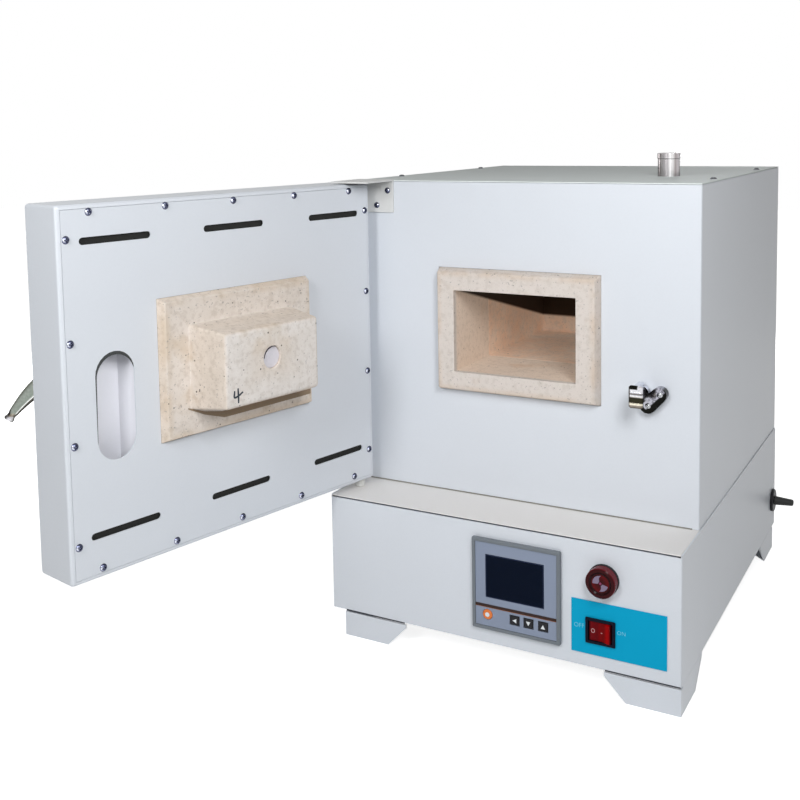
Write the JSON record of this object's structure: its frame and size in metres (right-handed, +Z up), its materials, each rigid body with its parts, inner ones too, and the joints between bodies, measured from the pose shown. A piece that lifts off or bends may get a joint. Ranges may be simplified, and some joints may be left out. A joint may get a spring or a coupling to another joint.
{
  "type": "muffle furnace",
  "caption": "Bench muffle furnace on a footed plinth, its side-hung plug door standing open on a brick-framed chamber, with latch, controller, alarm, rocker switch and flue stub.",
  "frame": {"origin": "middle of the footprint of the whole part with its door standing open, on the bench under the feet", "axes": "+Z up, +Y from the controls to the rear, +X to the right as seen from the front"},
  "size_m": [0.5652, 0.8066, 0.5275],
  "materials": {
    "alarm_body": "matte",
    "alarm_lens": "gloss",
    "base_floor": "satin",
    "base_rear": "satin",
    "base_shell": "satin",
    "base_top": "satin",
    "cable_gland": "matte",
    "casing_floor": "satin",
    "casing_rear": "satin",
    "casing_top": "satin",
    "casing_wrap": "satin",
    "controller_case": "matte",
    "controller_face": "matte",
    "controller_screen": "gloss",
    "door_brick": "matte",
    "door_inner_panel": "satin",
    "door_insulation": "matte",
    "door_shell": "satin",
    "flue_pipe": "satin",
    "flue_stub": "satin",
    "foot_front_left": "satin",
    "foot_front_right": "satin",
    "foot_rear_left": "satin",
    "foot_rear_right": "satin",
    "front_brick": "matte",
    "gland_boot": "matte",
    "heater_left": "matte",
    "heater_right": "matte",
    "hinge_bracket": "satin",
    "hinge_bush_bottom": "satin",
    "hinge_bush_top": "satin",
    "hinge_pin_bottom": "satin",
    "insulation_bottom": "matte",
    "insulation_left": "matte",
    "insulation_rear": "matte",
    "insulation_right": "matte",
    "insulation_top": "matte",
    "key_down": "matte",
    "key_left": "matte",
    "key_set": "matte",
    "key_up": "matte",
    "latch_box": "satin",
    "latch_handle": "polished",
    "latch_rose": "polished",
    "latch_spindle": "satin",
    "latch_strike": "polished",
    "latch_tongue": "satin",
    "muffle": "matte",
    "plug_stopper": "matte",
    "relay_block": "satin",
    "switch_case": "matte",
    "switch_plate": "satin",
    "switch_rocker": "gloss",
    "terminal_strip": "matte",
    "thermocouple_head": "satin",
    "thermocouple_sheath": "matte"
  },
  "bodies": {
    "furnace": {"alarm_body": "alarm_body", "alarm_lens": "alarm_lens", "base_floor": "base_floor", "base_rear": "base_rear", "base_shell": "base_shell", "base_top": "base_top", "cable_gland": "cable_gland", "casing_floor": "casing_floor", "casing_rear": "casing_rear", "casing_top": "casing_top", "casing_wrap": "casing_wrap", "controller_case": "controller_case", "controller_face": "controller_face", "controller_screen": "controller_screen", "flue_pipe": "flue_pipe", "flue_stub": "flue_stub", "foot_front_left": "foot_front_left", "foot_front_right": "foot_front_right", "foot_rear_left": "foot_rear_left", "foot_rear_right": "foot_rear_right", "front_brick": "front_brick", "gland_boot": "gland_boot", "heater_left": "heater_left", "heater_right": "heater_right", "hinge_bracket": "hinge_bracket", "hinge_pin_bottom": "hinge_pin_bottom", "insulation_bottom": "insulation_bottom", "insulation_left": "insulation_left", "insulation_rear": "insulation_rear", "insulation_right": "insulation_right", "insulation_top": "insulation_top", "latch_strike": "latch_strike", "muffle": "muffle", "relay_block": "relay_block", "switch_case": "switch_case", "switch_plate": "switch_plate", "terminal_strip": "terminal_strip", "thermocouple_head": "thermocouple_head", "thermocouple_sheath": "thermocouple_sheath"},
    "door": {"door_shell": "door_shell", "door_inner_panel": "door_inner_panel", "door_insulation": "door_insulation", "door_brick": "door_brick", "plug_stopper": "plug_stopper", "latch_box": "latch_box", "hinge_bush_bottom": "hinge_bush_bottom", "hinge_bush_top": "hinge_bush_top", "latch_rose": "latch_rose"},
    "latch": {"latch_handle": "latch_handle", "latch_spindle": "latch_spindle", "latch_tongue": "latch_tongue"},
    "rocker": {"switch_rocker": "switch_rocker"},
    "button_left": {"key_left": "key_left"},
    "button_down": {"key_down": "key_down"},
    "button_up": {"key_up": "key_up"},
    "button_set": {"key_set": "key_set"}
  },
  "joints": [
    {"name": "door_hinge", "type": "hinge", "parent": "furnace", "child": "door", "pos_m": [-0.11884, -0.03772, 0.333], "axis": [0, 0, 1], "range_deg": [-17.5, 102.5]},
    {"name": "latch_turn", "type": "hinge", "parent": "door", "child": "latch", "pos_m": [-0.18418, -0.37866, 0.3375], "axis": [-0.9763, 0.2164, 0], "range_deg": [-50, 0]},
    {"name": "rocker_tilt", "type": "hinge", "parent": "furnace", "child": "rocker", "pos_m": [0.17656, -0.07872, 0.0675], "axis": [0, 0, 1], "range_deg": [0, 20]},
    {"name": "key_left_press", "type": "slide", "parent": "furnace", "child": "button_left", "axis": [0, 1, 0], "range_m": [0, 0.0008], "stiffness_N_per_m": 300},
    {"name": "key_down_press", "type": "slide", "parent": "furnace", "child": "button_down", "axis": [0, 1, 0], "range_m": [0, 0.0008], "stiffness_N_per_m": 300},
    {"name": "key_up_press", "type": "slide", "parent": "furnace", "child": "button_up", "axis": [0, 1, 0], "range_m": [0, 0.0008], "stiffness_N_per_m": 300},
    {"name": "key_set_press", "type": "slide", "parent": "furnace", "child": "button_set", "axis": [0, 1, 0], "range_m": [0, 0.0008], "stiffness_N_per_m": 300}
  ]
}
